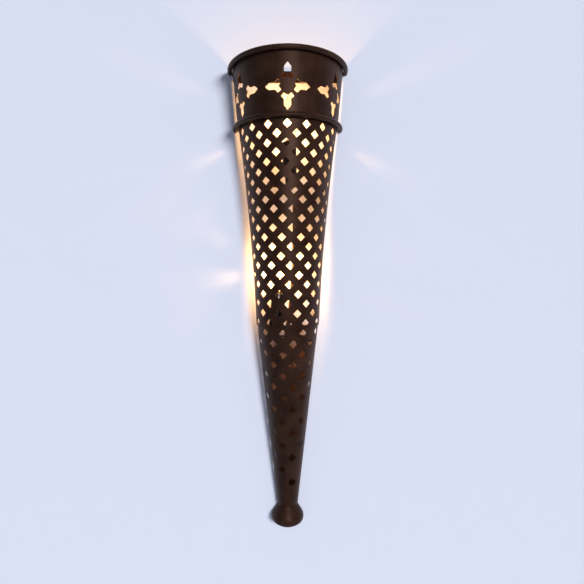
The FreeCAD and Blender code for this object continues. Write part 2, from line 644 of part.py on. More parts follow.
def route(points):
    """A path of straight runs joined by tangent arcs, each nearly as large as its runs allow."""
    edges = []
    last = points[0]
    for before, corner, after in zip(points, points[1:], points[2:]):
        into, out = (before - corner), (after - corner)
        half_turn = (math.pi - into.getAngle(out)) / 2
        reach = 0.45 * min(into.Length, out.Length)
        into.normalize()
        out.normalize()
        start, end = corner + into * reach, corner + out * reach
        radius = reach / math.tan(half_turn)
        middle = corner + (into + out).normalize() * (math.hypot(radius, reach) - radius)
        edges.append(Part.LineSegment(last, start).toShape())
        edges.append(Part.Arc(start, middle, end).toShape())
        last = end
    edges.append(Part.LineSegment(last, points[-1]).toShape())
    return Part.Wire(edges)


def swept(points, width):
    """A bar of a few flat sides, swept along a route."""
    square_on = FreeCAD.Rotation(UP, points[1] - points[0])
    sides = int(size("lamp.tube_sides"))
    ring = []
    for corner in range(sides + 1):
        angle = 2 * math.pi * corner / sides
        ring.append(points[0] + square_on.multVec(V(math.cos(angle), math.sin(angle), 0)) * (width / 2))
    return route(points).makePipeShell([Part.makePolygon(ring)], True, False)


def tube(points, diameter, bore=None):
    """A wire, or a sleeve with a bore, as wide as an expression says."""
    solid = swept(points, size(diameter))
    return solid.cut(swept(points, size(bore))) if bore else solid


def sleeve_route():
    """The sleeve hangs from under the upper socket past the lower one, and drifts left at last."""
    foot = size("lamp.upper_socket_z - lamp.socket_foot - lamp.sleeve_drop")
    fall = foot - size("lamp.lower_socket_z - lamp.socket_foot - lamp.sleeve_tail")
    leans = ((0.0, 0.0), (0.02, 0.28), (0.18, 0.55), (0.42, 0.75), (0.72, 0.9), (1.0, 1.0))
    return [V(size("lamp.sleeve_x - %r * lamp.sleeve_drift" % lean), size("lamp.upper_socket_depth"),
              foot - share * fall) for lean, share in leans]


def make_sleeve():
    """The sleeve that gathers the upper socket's three wires."""
    flat_share = math.cos(math.pi / size("lamp.tube_sides"))
    bore = "(%s + 2 * lamp.sleeve_slack) / %r" % (BUNDLE, flat_share)
    outside = "%s + 2 * lamp.sleeve_wall / %r" % (bore, flat_share)
    part(feature("sleeve_tube", tube(sleeve_route(), outside, bore)), "wire_sleeve")


def connector_tops():
    """Where the two twist-on connectors begin, left and right of the sleeve's end."""
    below = sleeve_route()[-1]
    aside = size("lamp.connector_diameter / 2 + lamp.connector_gap")
    top = V(below.x, size("lamp.connector_depth"), below.z - size("lamp.connector_drop"))
    return {"hot": top - V(aside, 0, 0), "neutral": top + V(aside, 0, 0)}


def make_connectors():
    """Twist-on connectors, wide end down, faceted for the fingers."""
    sides = int(size("lamp.connector_sides"))
    radius, length = size("lamp.connector_diameter / 2"), size("lamp.connector_length")
    caps = []
    for top in connector_tops().values():
        rings = []
        for share, drop in ((size("lamp.connector_taper"), 0), (1.0, length)):
            ring = [top + V(share * radius * math.cos(2 * math.pi * corner / sides),
                            share * radius * math.sin(2 * math.pi * corner / sides), -drop)
                    for corner in range(sides)]
            rings.append(Part.makePolygon(ring + ring[:1]))
        caps.append(Part.makeLoft(rings, True, True))
    part(feature("connector_caps", Part.makeCompound(caps)), "wire_connectors")


def make_ground_screw():
    """The ground screw's head, under the lower shelf's bar. Returns the point that the ground
    wire comes up to."""
    shelf = socket_place("lower").multVec(V(0, 0, -size("lamp.socket_foot")))
    rise = size("lamp.ground_screw_height")
    below = V(size("lamp.ground_screw_x"), shelf.y, shelf.z - size("lamp.shelf_thickness") - rise)
    part(feature("ground_screw_body", drill("lamp.ground_screw_head", rise, below)), "ground_screw")
    return below


def make_wires():
    """Three wires leave the upper socket's nipple, gather in the sleeve and fan out below it.
    Two meet the lower socket's own wires in the connectors, one goes to the ground screw."""
    wire = "lamp.wire_diameter"
    beside = V(0, size("lamp.wire_diameter + lamp.wire_gap"), 0)
    apart = V(0, size("lamp.wire_diameter / 2 + lamp.connector_spread"), 0)
    lead = V(0, 0, size("lamp.connector_lead"))
    end = V(0, 0, -size("%s + lamp.nipple_end" % BELOW_SOCKET))
    joints, screw, sleeve = connector_tops(), make_ground_screw(), sleeve_route()
    below = sleeve[-1]
    tails = {name: [joints[name] - apart + lead, joints[name] - apart] for name in joints}
    tails["ground"] = [below + V(3, 0, -18), V(screw.x, screw.y, below.z - 16), screw]
    nipple_end = socket_place("upper").multVec(end)
    for order, name in zip((1, 0, -1), ("hot", "neutral", "ground")):
        points = [nipple_end + V(0, 0, 12), nipple_end - V(0, 0, 1), sleeve[0] + V(0, 0, 8)]
        points += sleeve[1:] + [below - V(1, 0, 6)]
        strand = [point + beside * order for point in points] + tails[name]
        label = "ground_wire" if name == "ground" else "upper_%s_wire" % name
        part(feature(label + "_strand", tube(strand, wire)), label)

    lower = socket_place("lower")
    for side, name in ((1, "hot"), (-1, "neutral")):
        points = [lower.multVec(end + beside * side + V(0, 0, rise)) for rise in (12, -3)]
        points += [joints[name] + apart + lead, joints[name] + apart]
        part(feature("lower_%s_strand" % name, tube(points, wire)), "lower_%s_wire" % name)


# ---- the whole lamp ----------------------------------------------------------------------

make_sheets()
make_rod("top_rim_rod", "lamp.rim_height", "lamp.rim_radius")
make_rod("collar_rod", "lamp.seam_height", "lamp.seam_radius")
make_strap()
make_rivets()
make_foot_plate()
make_finial()
for where in ("upper", "lower"):
    make_socket(where)
    make_shelf(where)
    make_bulb(where)
make_sleeve()
make_wires()
make_connectors()
DOC.recompute()

for thing in DOC.Objects:
    if "Invalid" in thing.State or "Error" in thing.State:
        raise RuntimeError("failed: %s %s" % (thing.Name, thing.State))
os.makedirs("parts", exist_ok=True)
for thing in PARTS:
    shape = thing.Shape
    if shape.isNull() or not shape.isValid() or not shape.Solids:
        raise RuntimeError("bad shape: %s" % thing.Label)
    shape.exportStep(os.path.join("parts", thing.Label + ".step"))
    print("%-24s %2d solids %10.1f mm3" % (thing.Label, len(shape.Solids), shape.Volume))
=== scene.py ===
"""The looks of a torch sconce: a half-round shade of punched dark bronze sheet that hangs on a
wall, lit from inside by two clear candle bulbs. Metres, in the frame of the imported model."""
import json
import math

import bpy
from mathutils import Matrix, Vector

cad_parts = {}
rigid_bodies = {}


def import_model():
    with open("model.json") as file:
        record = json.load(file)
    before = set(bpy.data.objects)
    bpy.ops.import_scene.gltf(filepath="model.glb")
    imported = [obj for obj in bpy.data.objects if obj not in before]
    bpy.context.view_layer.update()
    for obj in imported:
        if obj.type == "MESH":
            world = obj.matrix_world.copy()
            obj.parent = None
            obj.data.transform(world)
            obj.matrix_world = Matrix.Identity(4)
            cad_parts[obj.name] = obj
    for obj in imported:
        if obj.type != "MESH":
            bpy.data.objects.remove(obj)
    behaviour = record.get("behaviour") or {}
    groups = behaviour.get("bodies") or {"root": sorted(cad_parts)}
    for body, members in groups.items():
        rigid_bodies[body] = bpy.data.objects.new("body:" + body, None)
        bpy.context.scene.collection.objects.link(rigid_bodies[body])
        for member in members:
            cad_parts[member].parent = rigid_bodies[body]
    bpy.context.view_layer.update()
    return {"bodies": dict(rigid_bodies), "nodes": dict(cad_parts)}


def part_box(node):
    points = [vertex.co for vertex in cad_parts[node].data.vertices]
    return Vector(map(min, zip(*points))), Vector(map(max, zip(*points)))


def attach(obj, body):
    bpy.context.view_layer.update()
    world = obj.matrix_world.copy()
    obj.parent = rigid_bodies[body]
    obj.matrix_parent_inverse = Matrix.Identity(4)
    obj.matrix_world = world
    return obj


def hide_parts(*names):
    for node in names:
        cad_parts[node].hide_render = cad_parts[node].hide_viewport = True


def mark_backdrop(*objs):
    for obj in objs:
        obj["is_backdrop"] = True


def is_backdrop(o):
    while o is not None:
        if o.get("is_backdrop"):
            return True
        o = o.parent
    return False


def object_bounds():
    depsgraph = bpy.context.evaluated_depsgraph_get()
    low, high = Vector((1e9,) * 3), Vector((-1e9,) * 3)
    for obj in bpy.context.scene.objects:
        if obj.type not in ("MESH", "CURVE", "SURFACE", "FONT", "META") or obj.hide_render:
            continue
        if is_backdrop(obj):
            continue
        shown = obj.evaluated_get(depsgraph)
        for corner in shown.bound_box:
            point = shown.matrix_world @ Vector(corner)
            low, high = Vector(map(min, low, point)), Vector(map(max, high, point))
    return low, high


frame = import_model()
nodes = frame["nodes"]
MM = 0.001


# ---- camera ------------------------------------------------------------------------------
# The photograph is taken straight on from less than a metre away: the top rim, above the
# lens, is seen from below and the ball at the foot from above.
PHOTO = 584
PIXEL = 1.68 * MM
SQUARE_ON = (288.56, 254.96)
STRAP_PIXEL = (287.7, 77.6)
DISTANCE = 435 * PIXEL
SENSOR = 36.0
camera = bpy.data.objects.new("camera", bpy.data.cameras.new("camera"))
camera.data.sensor_width = SENSOR
camera.data.lens = SENSOR * DISTANCE / (PHOTO * PIXEL)
camera.data.shift_x = (PHOTO / 2 - SQUARE_ON[0]) / PHOTO
camera.data.shift_y = (SQUARE_ON[1] - PHOTO / 2) / PHOTO
camera.location = ((SQUARE_ON[0] - STRAP_PIXEL[0]) * PIXEL, -DISTANCE,
                   (STRAP_PIXEL[1] - SQUARE_ON[1]) * PIXEL)
camera.rotation_euler = (math.pi / 2, 0, 0)
bpy.context.scene.collection.objects.link(camera)
bpy.context.scene.camera = camera
bpy.context.scene.view_settings.view_transform = "Standard"


# ---- wall, floor and studio light ---------------------------------------------------------
# The wall is pale blue-white plaster and the floor pale grey paint. The wall lets through what
# comes from behind it and what starts within a hair of it, so that the lamp's back is lit and
# can be seen from behind.
def shader_material(name, **values):
    """A material and its Principled shader, with sockets set as Socket_Name=value."""
    material = bpy.data.materials.new(name)
    material.use_nodes = True
    shader = material.node_tree.nodes["Principled BSDF"]
    for socket, value in values.items():
        shader.inputs[socket.replace("_", " ")].default_value = value
    return material, shader


def join_nodes(tree, kind, links=(), **settings):
    """A new node with its settings made and its inputs linked, given as {input: output}."""
    node = tree.nodes.new(kind)
    for setting, value in settings.items():
        setattr(node, setting, value)
    for socket, source in dict(links).items():
        tree.links.new(source, node.inputs[socket])
    return node


def math_node(tree, operation, first, second):
    """A Math node on two outputs or numbers."""
    node = tree.nodes.new("ShaderNodeMath")
    node.operation = operation
    for socket, value in zip(node.inputs, (first, second)):
        if isinstance(value, (int, float)):
            socket.default_value = value
        else:
            tree.links.new(value, socket)
    return node.outputs[0]


WALL_COLOUR = (0.700, 0.738, 0.880, 1)
WALL_FACE, WALL_MIDDLE = 0.6 * MM, -0.2
HAIR = 1.5 * MM
wall_paint, wall_shader = shader_material("wall_paint", Base_Color=WALL_COLOUR, Roughness=0.9)
wall_shader.inputs["Specular IOR Level"].default_value = 0.0
tree = wall_paint.node_tree
geometry = join_nodes(tree, "ShaderNodeNewGeometry")
path = join_nodes(tree, "ShaderNodeLightPath")
within_a_hair = math_node(tree, "LESS_THAN", path.outputs["Ray Length"], HAIR)
bounced = math_node(tree, "SUBTRACT", 1.0, path.outputs["Is Camera Ray"])
unseen = math_node(tree, "MULTIPLY", within_a_hair, bounced)
clear = math_node(tree, "MAXIMUM", geometry.outputs["Backfacing"], unseen)
see_through = join_nodes(tree, "ShaderNodeBsdfTransparent")


def faded(tree, value, start, end):
    """A clamped ramp from 0 where a value is at its start to 1 at its end."""
    ramp = join_nodes(tree, "ShaderNodeMapRange", {"Value": value})
    ramp.inputs["From Min"].default_value = start
    ramp.inputs["From Max"].default_value = end
    return ramp.outputs[0]


# behind the straight lower cone, where only its holes show it, the wall is painted dark brown: painted shade
# for the dim, warm-lit wall inside the cone
PAINTED_SHADE_COLOUR = (0.34, 0.17, 0.10, 1)
PAINTED_SHADE_TAPER, PAINTED_SHADE_HALF, PAINTED_SHADE_EDGE = 0.11, 70 * MM, 6 * MM
PAINTED_SHADE_TOP, PAINTED_SHADE_FOOT = (-0.40, -0.46), (-0.72, -0.71)
where = join_nodes(tree, "ShaderNodeTexCoord").outputs["Object"]
axes = join_nodes(tree, "ShaderNodeSeparateXYZ", {0: where}).outputs
half_width = math_node(tree, "MULTIPLY", axes["Y"], PAINTED_SHADE_TAPER)
half_width = math_node(tree, "ADD", half_width, PAINTED_SHADE_HALF)
inside = math_node(tree, "SUBTRACT", half_width, math_node(tree, "ABSOLUTE", axes["X"], 0.0))
painted_shade = faded(tree, inside, 0.0, PAINTED_SHADE_EDGE)
for none_at, full_at in (PAINTED_SHADE_TOP, PAINTED_SHADE_FOOT):
    along = faded(tree, axes["Y"], none_at - WALL_MIDDLE, full_at - WALL_MIDDLE)
    painted_shade = math_node(tree, "MULTIPLY", painted_shade, along)
# the ramp blends the wall's paint into the painted shade
painted_shade_ramp = join_nodes(tree, "ShaderNodeValToRGB", {"Fac": painted_shade})
painted_shade_ramp.color_ramp.elements[0].color = WALL_COLOUR
painted_shade_ramp.color_ramp.elements[1].color = PAINTED_SHADE_COLOUR
tree.links.new(painted_shade_ramp.outputs["Color"], wall_shader.inputs["Base Color"])

mix = join_nodes(tree, "ShaderNodeMixShader",
                 {0: clear, 1: wall_shader.outputs[0], 2: see_through.outputs[0]})
tree.links.new(mix.outputs[0], tree.nodes["Material Output"].inputs["Surface"])

bpy.ops.object.select_all(action="DESELECT")
bpy.ops.mesh.primitive_plane_add(size=5, location=(0, WALL_FACE, WALL_MIDDLE),
                                 rotation=(math.pi / 2, 0, 0))
wall = bpy.context.active_object
wall.name = "wall"
wall.data.materials.append(wall_paint)
bpy.ops.mesh.primitive_plane_add(size=9, location=(0, 0, -1.9))
floor = bpy.context.active_object
floor.name = "floor"
floor_paint, floor_shader = shader_material("floor_paint", Base_Color=(0.74, 0.75, 0.78, 1), Roughness=0.8)
floor.data.materials.append(floor_paint)
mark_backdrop(wall, floor)

world = bpy.data.worlds.new("studio")
world.use_nodes = True
bpy.context.scene.world = world
tree = world.node_tree
background = tree.nodes["Background"]
path = join_nodes(tree, "ShaderNodeLightPath")
seen = math_node(tree, "MAXIMUM", path.outputs["Is Camera Ray"], path.outputs["Is Transmission Ray"])
ROOM_LIGHT, BACKDROP_LIGHT = 0.24, 0.66
pale = math_node(tree, "ADD", math_node(tree, "MULTIPLY", seen, BACKDROP_LIGHT), ROOM_LIGHT)
background.inputs["Color"].default_value = (0.86, 0.90, 1.0, 1)
tree.links.new(pale, background.inputs["Strength"])


def aimed(lamp, place, aim):
    """Puts a lamp at a place, aimed at a point."""
    lamp.location = place
    lamp.rotation_euler = (Vector(aim) - Vector(place)).to_track_quat("-Z", "Y").to_euler()
    bpy.context.scene.collection.objects.link(lamp)


# a broad, even key from the right that only lights, and a small lamp near the lens that only
# draws the bright line down the metal
key = bpy.data.objects.new("key", bpy.data.lights.new("key", "SUN"))
key.data.energy = 2.8
key.visible_glossy = False
key.data.angle = math.radians(18)
key.data.color = (1.0, 0.995, 0.985)
aimed(key, (1.45, -2.25, 0.25), (0, 0, -0.3))
front = bpy.data.objects.new("front", bpy.data.lights.new("front", "AREA"))
front.data.energy = 21
front.data.color = (1.0, 0.88, 0.79)
front.data.size = 0.18
aimed(front, (0.34, -2.3, 0.05), (0, 0, -0.3))
front.visible_diffuse = False


# ---- finishes of the shade -----------------------------------------------------------------
# Every part of the shade is mild steel with an oil-rubbed bronze coat: a dark brown with
# cloudy lighter patches where the rubbing cut through, and a satin gloss that varies with it.
def cloudy(material, shader, scale, dark, light, roughness, bump, grain=900.0):
    """Gives a shader cloudy colour and gloss, and a fine grain in its relief."""
    tree = material.node_tree
    where = join_nodes(tree, "ShaderNodeTexCoord").outputs["Object"]
    clouds = join_nodes(tree, "ShaderNodeTexNoise", {"Vector": where})
    clouds.inputs["Scale"].default_value = scale
    clouds.inputs["Detail"].default_value = 7.0
    clouds.inputs["Roughness"].default_value = 0.62
    ramp = join_nodes(tree, "ShaderNodeValToRGB", {"Fac": clouds.outputs["Fac"]})
    ramp.color_ramp.elements[0].position = 0.36
    ramp.color_ramp.elements[1].position = 0.68
    ramp.color_ramp.elements[0].color = dark
    ramp.color_ramp.elements[1].color = light
    tree.links.new(ramp.outputs["Color"], shader.inputs["Base Color"])
    low, high = roughness
    gloss = join_nodes(tree, "ShaderNodeMapRange", {"Value": clouds.outputs["Fac"]})
    for socket, value in (("From Min", 0.3), ("From Max", 0.7), ("To Min", low), ("To Max", high)):
        gloss.inputs[socket].default_value = value
    tree.links.new(gloss.outputs[0], shader.inputs["Roughness"])
    fine = join_nodes(tree, "ShaderNodeTexNoise", {"Vector": where})
    fine.inputs["Scale"].default_value = grain
    fine.inputs["Detail"].default_value = 3.0
    relief = join_nodes(tree, "ShaderNodeBump", {"Height": fine.outputs["Fac"]})
    relief.inputs["Strength"].default_value = bump
    relief.inputs["Distance"].default_value = 0.2 * MM
    tree.links.new(relief.outputs[0], shader.inputs["Normal"])
    return clouds


bronze, shader = shader_material("rubbed_bronze", Metallic=0.25, Specular_IOR_Level=0.3,
                                 Specular_Tint=(1.0, 0.80, 0.70, 1))
cloudy(bronze, shader, 34.0, (0.017, 0.0060, 0.0032, 1), (0.040, 0.0165, 0.0092, 1), (0.36, 0.50), 0.10)


# ---- half-round sheets -----------------------------------------------------------------------
# The collar and the two cones are 1.2 mm sheet, rolled about the wall line. Each is drawn as a
# tube ring by ring, cut off short of the wall, thickened and punched.
SHEET = 1.2 * MM
LAP = SHEET + 0.15 * MM
ROUND = 180


def deselect():
    bpy.ops.object.select_all(action="DESELECT")


def ring_tube(levels, sides=ROUND, ends="NOTHING"):
    """A tube through levels of (height, radius), with open or filled ends, as the active object."""
    deselect()
    height, radius = levels[0]
    bpy.ops.mesh.primitive_circle_add(vertices=sides, radius=radius, fill_type=ends, location=(0, 0, height))
    bpy.ops.object.mode_set(mode="EDIT")
    bpy.ops.mesh.select_all(action="SELECT")
    for (height, radius), (next_height, next_radius) in zip(levels, levels[1:]):
        move = {"value": (0, 0, next_height - height)}
        bpy.ops.mesh.extrude_region_move(TRANSFORM_OT_translate=move)
        scale = next_radius / radius
        bpy.ops.transform.resize(value=(scale, scale, 1), center_override=(0, 0, next_height))
    bpy.ops.mesh.select_all(action="SELECT")
    bpy.ops.mesh.normals_make_consistent(inside=False)
    bpy.ops.object.mode_set(mode="OBJECT")
    bpy.ops.object.transform_apply(location=True, rotation=True, scale=True)
    return bpy.context.active_object


def cut_back(depth, fill=False, normal=(0, 1, 0), height=0):
    """Cuts the active piece off at a depth before the wall and keeps the room's side."""
    bpy.ops.object.mode_set(mode="EDIT")
    bpy.ops.mesh.select_all(action="SELECT")
    bpy.ops.mesh.bisect(plane_co=(0, -depth, height), plane_no=normal, clear_outer=True, use_fill=fill)
    bpy.ops.object.mode_set(mode="OBJECT")


def apply_modifier(kind, **settings):
    """Adds a modifier to the active piece and applies it."""
    piece = bpy.context.active_object
    modifier = piece.modifiers.new(kind.lower(), kind)
    for setting, value in settings.items():
        setattr(modifier, setting, value)
    bpy.ops.object.modifier_apply(modifier=modifier.name)


def settle(name, finish, slot, body, *stands_for, place=None, smooth=30):
    """Fixes the active piece's place in its mesh, and gives it its name, finish and body. The slot is not
    used.
    """
    piece = bpy.context.active_object
    if place is not None:
        piece.matrix_world = place
    bpy.ops.object.transform_apply(location=True, rotation=True, scale=True)
    bpy.ops.object.shade_smooth_by_angle(angle=math.radians(smooth))
    piece.name = name
    piece.data.name = name
    piece.data.materials.clear()
    piece.data.materials.append(finish)
    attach(piece, body)
    if stands_for:
        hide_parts(*stands_for)
    return piece


def spread(model, places):
    """Copies a cutter to each place and joins the copies into one."""
    deselect()
    copies = []
    for place in places:
        copy = model.copy()
        copy.data = model.data.copy()
        copy.matrix_world = place
        bpy.context.scene.collection.objects.link(copy)
        copy.select_set(True)
        copies.append(copy)
    bpy.context.view_layer.objects.active = copies[0]
    bpy.ops.object.join()
    return bpy.context.active_object


def punch_out(sheet, cutter):
    """Takes a joined cutter out of a sheet."""
    deselect()
    sheet.select_set(True)
    bpy.context.view_layer.objects.active = sheet
    apply_modifier("BOOLEAN", operation="DIFFERENCE", solver="EXACT", object=cutter)
    bpy.data.objects.remove(cutter)


def rolled_sheet(levels, gap, normal=(0, 1, 0)):
    """A half-round sheet through levels of (height, outer radius), cut off before the wall by a
    gap at its top, along a plane that may tilt."""
    sheet = ring_tube(levels)
    cut_back(gap, normal=normal, height=levels[0][0])
    apply_modifier("SOLIDIFY", thickness=SHEET, offset=-1, use_even_offset=True)
    return sheet


def radius_at(levels, height):
    """The radius at a height between the levels of a profile, top first."""
    for (high, above), (low, below) in zip(levels, levels[1:]):
        if high >= height >= low:
            return above + (below - above) * (height - high) / (low - high)
    raise ValueError("height off the profile")


# ---- collar ---------------------------------------------------------------------------------
# The collar band between the two rods, of the same coated sheet, is cut right through with
# three cross motifs of four petals, each a forked foot, a neck and a leaf with a point.
RIM_HEIGHT, RIM_RADIUS = 6.7 * MM, 92 * MM
SEAM_HEIGHT, SEAM_RADIUS = -89.4 * MM, 83.2 * MM
LIP = 3 * MM
TAPER = (RIM_RADIUS - SEAM_RADIUS) / (RIM_HEIGHT - SEAM_HEIGHT)
COLLAR = [(RIM_HEIGHT + LIP, RIM_RADIUS + TAPER * LIP), (SEAM_HEIGHT - LIP, SEAM_RADIUS - TAPER * LIP)]
MOTIF_HEIGHT = -47 * MM
MOTIF_TURN = math.radians(58)
SIDE_PETAL_SHIFT = 6 * MM
PETAL = [(13.3, 0), (9.6, 5.9), (14.8, 10), (19.5, 5.2), (28, 5.5), (34.8, 0)]
PETAL_MIDDLE = 24.05
PETAL_SOFTNESS = 1.1 * MM
DEEP = 6 * MM
COLLAR_GAP = 1.5 * MM

outline = PETAL + [(out, -side) for out, side in PETAL[-2:0:-1]]
motif_radius = radius_at(COLLAR, MOTIF_HEIGHT)
deselect()
bpy.ops.mesh.primitive_circle_add(vertices=len(outline), radius=10 * MM, fill_type="NGON")
petal = bpy.context.active_object
for vertex, (out, side) in zip(petal.data.vertices, outline):
    vertex.co = ((out - PETAL_MIDDLE) * MM, -motif_radius - DEEP, side * MM)
bpy.ops.object.mode_set(mode="EDIT")
bpy.ops.mesh.select_all(action="SELECT")
bpy.ops.mesh.bevel(offset=PETAL_SOFTNESS, segments=3, affect="VERTICES")
bpy.ops.mesh.select_all(action="SELECT")
bpy.ops.mesh.extrude_region_move(TRANSFORM_OT_translate={"value": (0, 2 * DEEP, 0)})
bpy.ops.mesh.select_all(action="SELECT")
bpy.ops.mesh.normals_make_consistent(inside=False)
bpy.ops.object.mode_set(mode="OBJECT")

petal_places = []
for motif in (-1, 0, 1):
    for quarter, (across, along) in enumerate(((1, 0), (0, 1), (-1, 0), (0, -1))):
        further = SIDE_PETAL_SHIFT if across * motif < 0 else 0
        turn = across * (PETAL_MIDDLE * MM + further) / motif_radius + motif * MOTIF_TURN
        rise = Matrix.Translation((0, 0, MOTIF_HEIGHT + along * PETAL_MIDDLE * MM))
        spin = Matrix.Rotation(-quarter * math.pi / 2, 4, "Y")
        petal_places.append(Matrix.Rotation(turn, 4, "Z") @ rise @ spin)
petals = spread(petal, petal_places)
bpy.data.objects.remove(petal)

collar = rolled_sheet(COLLAR, COLLAR_GAP)
punch_out(collar, petals)
settle("collar_sheet", bronze, "bronze", "sconce", "collar_band")


# ---- perforated cones --------------------------------------------------------------------------
# The same bronze-coated sheet, with square holes on their corners punched in staggered rows
# while it was flat. The upper cone bows inwards to the knee, and the straight lower cone is
# tucked behind its end.
KNEE_HEIGHT, KNEE_RADIUS = -413 * MM, 52.4 * MM
WAIST_RADIUS = 63.5 * MM
TAIL_HEIGHT, TAIL_RADIUS = -710 * MM, 17.1 * MM
PUNCH = 9.5 * MM
HALF_PUNCH = PUNCH / math.sqrt(2)
PUNCH_EDGE = 2 * MM
ROWS_END = 7 * MM
UPPER_GAP, LOWER_GAP = 1.5 * MM, 7.5 * MM

lap_top = SEAM_HEIGHT + 8 * MM
lip_height, lip_radius = COLLAR[1][0], COLLAR[1][1] - LAP
bow = 2 * (SEAM_RADIUS - LAP + KNEE_RADIUS) - 4 * WAIST_RADIUS
UPPER_STEPS, LOWER_STEPS = 30, 12
UPPER = [(lap_top, radius_at(COLLAR, lap_top) - LAP)]
for step in range(UPPER_STEPS + 1):
    share = step / UPPER_STEPS
    UPPER.append((lip_height + (KNEE_HEIGHT - lip_height) * share,
                  lip_radius + (KNEE_RADIUS - lip_radius) * share - bow * share * (1 - share)))
LOWER = [(height, radius_at(UPPER, height) - LAP) for height in (KNEE_HEIGHT + 4 * MM, KNEE_HEIGHT)]
for step in range(1, LOWER_STEPS + 1):
    share = step / LOWER_STEPS
    LOWER.append((KNEE_HEIGHT + (TAIL_HEIGHT - KNEE_HEIGHT) * share,
                  LOWER[1][1] + (TAIL_RADIUS - LOWER[1][1]) * share))

deselect()
bpy.ops.mesh.primitive_cube_add(size=1, rotation=(0, math.pi / 4, 0))
bpy.ops.transform.resize(value=(PUNCH, 2 * DEEP, PUNCH), orient_type="LOCAL")
bpy.ops.object.transform_apply(location=True, rotation=True, scale=True)
diamond = bpy.context.active_object


def punched(levels, gap, normal, first, rows, pitch, growth, arc, start, lean):
    """A cone with its rows of square holes, whose pitch grows row by row down the sheet. The
    rows end short of a line near the wall, whatever the trim of the back edge."""
    places = []
    for row in range(rows):
        height = first - row * pitch - row * (row - 1) / 2 * growth
        radius = radius_at(levels, height)
        edge = radius * math.acos(ROWS_END / radius) - HALF_PUNCH - PUNCH_EDGE
        offset = start + row * lean + row % 2 * arc / 2
        columns = int(edge / arc) + 1
        for column in range(-columns, columns + 1):
            along = offset + column * arc
            if abs(along) < edge:
                out = Matrix.Translation((0, -radius, height))
                places.append(Matrix.Rotation(along / radius, 4, "Z") @ out)
    cutter = spread(diamond, places)
    cone = rolled_sheet(levels, gap, normal)
    punch_out(cone, cutter)
    return cone


# the long edges are trimmed by hand: tight to the wall at the collar, further off it down
# the left side
UPPER_TRIM = Vector((-0.014, 1, -0.018)).normalized()
LOWER_TRIM = Vector((-0.02, 1, 0.018)).normalized()
punched(UPPER, UPPER_GAP, UPPER_TRIM, first=-100.5 * MM, rows=22, pitch=13.7 * MM, growth=0.082 * MM,
        arc=30.2 * MM, start=-0.6 * MM, lean=-0.7 * MM)
settle("upper_cone", bronze, "bronze", "sconce", "upper_perforated_cone")
punched(LOWER, LOWER_GAP, LOWER_TRIM, first=-422 * MM, rows=14, pitch=16.7 * MM, growth=0.38 * MM,
        arc=33 * MM, start=-7.5 * MM, lean=-0.15 * MM)
settle("lower_cone", bronze, "bronze", "sconce", "lower_perforated_cone")
bpy.data.objects.remove(diamond)


# ---- rods ------------------------------------------------------------------------------------
# Two half rings of round bar, bent cold and welded over the ends of the collar, their ends
# sawn square at the wall.
ROD = 7.8 * MM
for node in ("top_rim_rod", "collar_rod"):
    low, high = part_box(node)
    deselect()
    bpy.ops.mesh.primitive_torus_add(major_segments=ROUND, minor_segments=28,
                                     major_radius=high.x - ROD / 2, minor_radius=ROD / 2,
                                     location=(0, 0, (low.z + high.z) / 2))
    bpy.ops.object.transform_apply(location=True, rotation=True, scale=True)
    cut_back(0, fill=True)
    settle(node.replace("_rod", "_bar"), bronze, "bronze", "sconce", node)


# ---- strap, rivets, shelves and foot plate ------------------------------------------------------
# Sheared and folded from the same coated steel, and riveted or screwed inside the shade. They
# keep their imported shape: a merged copy of each gets worn, softened edges.
def softened(node, finish, slot, body="sconce", edge=0.25 * MM):
    """A merged copy of a CAD node, with its sharp edges rounded a little."""
    deselect()
    piece = nodes[node].copy()
    piece.data = nodes[node].data.copy()
    for label in list(piece.keys()):
        del piece[label]
    piece.parent = None
    bpy.context.scene.collection.objects.link(piece)
    piece.select_set(True)
    bpy.context.view_layer.objects.active = piece
    bpy.ops.object.mode_set(mode="EDIT")
    bpy.ops.mesh.select_all(action="SELECT")
    bpy.ops.mesh.remove_doubles(threshold=1e-6)
    bpy.ops.mesh.dissolve_limited(angle_limit=math.radians(0.5))
    bpy.ops.object.mode_set(mode="OBJECT")
    if edge:
        apply_modifier("BEVEL", width=edge, segments=2, limit_method="ANGLE", angle_limit=math.radians(40))
    return settle("finished_" + node, finish, slot, body, node)


for node in ("top_wall_strap", "strap_rivets", "upper_socket_shelf", "lower_socket_shelf", "foot_plate"):
    softened(node, bronze, "bronze")

zinc, shader = shader_material("zinc_plate", Metallic=0.9)
cloudy(zinc, shader, 160.0, (0.33, 0.32, 0.30, 1), (0.50, 0.49, 0.46, 1), (0.28, 0.45), 0.05)
for node in ("finial_stud", "finial_nut", "upper_nipple_nut", "lower_nipple_nut"):
    softened(node, zinc, "steel", edge=0.2 * MM)


# ---- finial -------------------------------------------------------------------------------------
# A half-round cast ball on a short neck, drawn down to a blunt point, with a flat back. It is
# coated like the shade, and a stud holds it to the foot plate.
FINIAL = [(0, 16.4), (2.5, 16.4), (7.5, 19.3), (13, 22.8), (18, 25.4), (23, 26.5), (28.5, 25.6),
          (33, 20.2), (37, 12.2), (41, 3.4), (42.5, 0.3)]


def eased(points, steps=5):
    """More points on a smooth line through the given ones."""
    line = []
    padded = [points[0]] + points + [points[-1]]
    for before, start, end, after in zip(padded, padded[1:], padded[2:], padded[3:]):
        for step in range(steps):
            share = step / steps
            point = []
            for a, b, c, d in zip(before, start, end, after):
                slope, bend = (c - a) / 2, 2 * a - 5 * b + 4 * c - d
                twist = 3 * b - 3 * c + d - a
                point.append(b + slope * share + bend * share ** 2 / 2 + twist * share ** 3 / 2)
            line.append(tuple(point))
    return line + [points[-1]]


profile = [(-depth * MM, radius * MM) for depth, radius in FINIAL[:2] + eased(FINIAL[1:])[1:]]
ring_tube([(TAIL_HEIGHT + height, radius) for height, radius in profile], ends="NGON")
cut_back(0, fill=True)
settle("cast_finial", bronze, "bronze", "sconce", "finial")


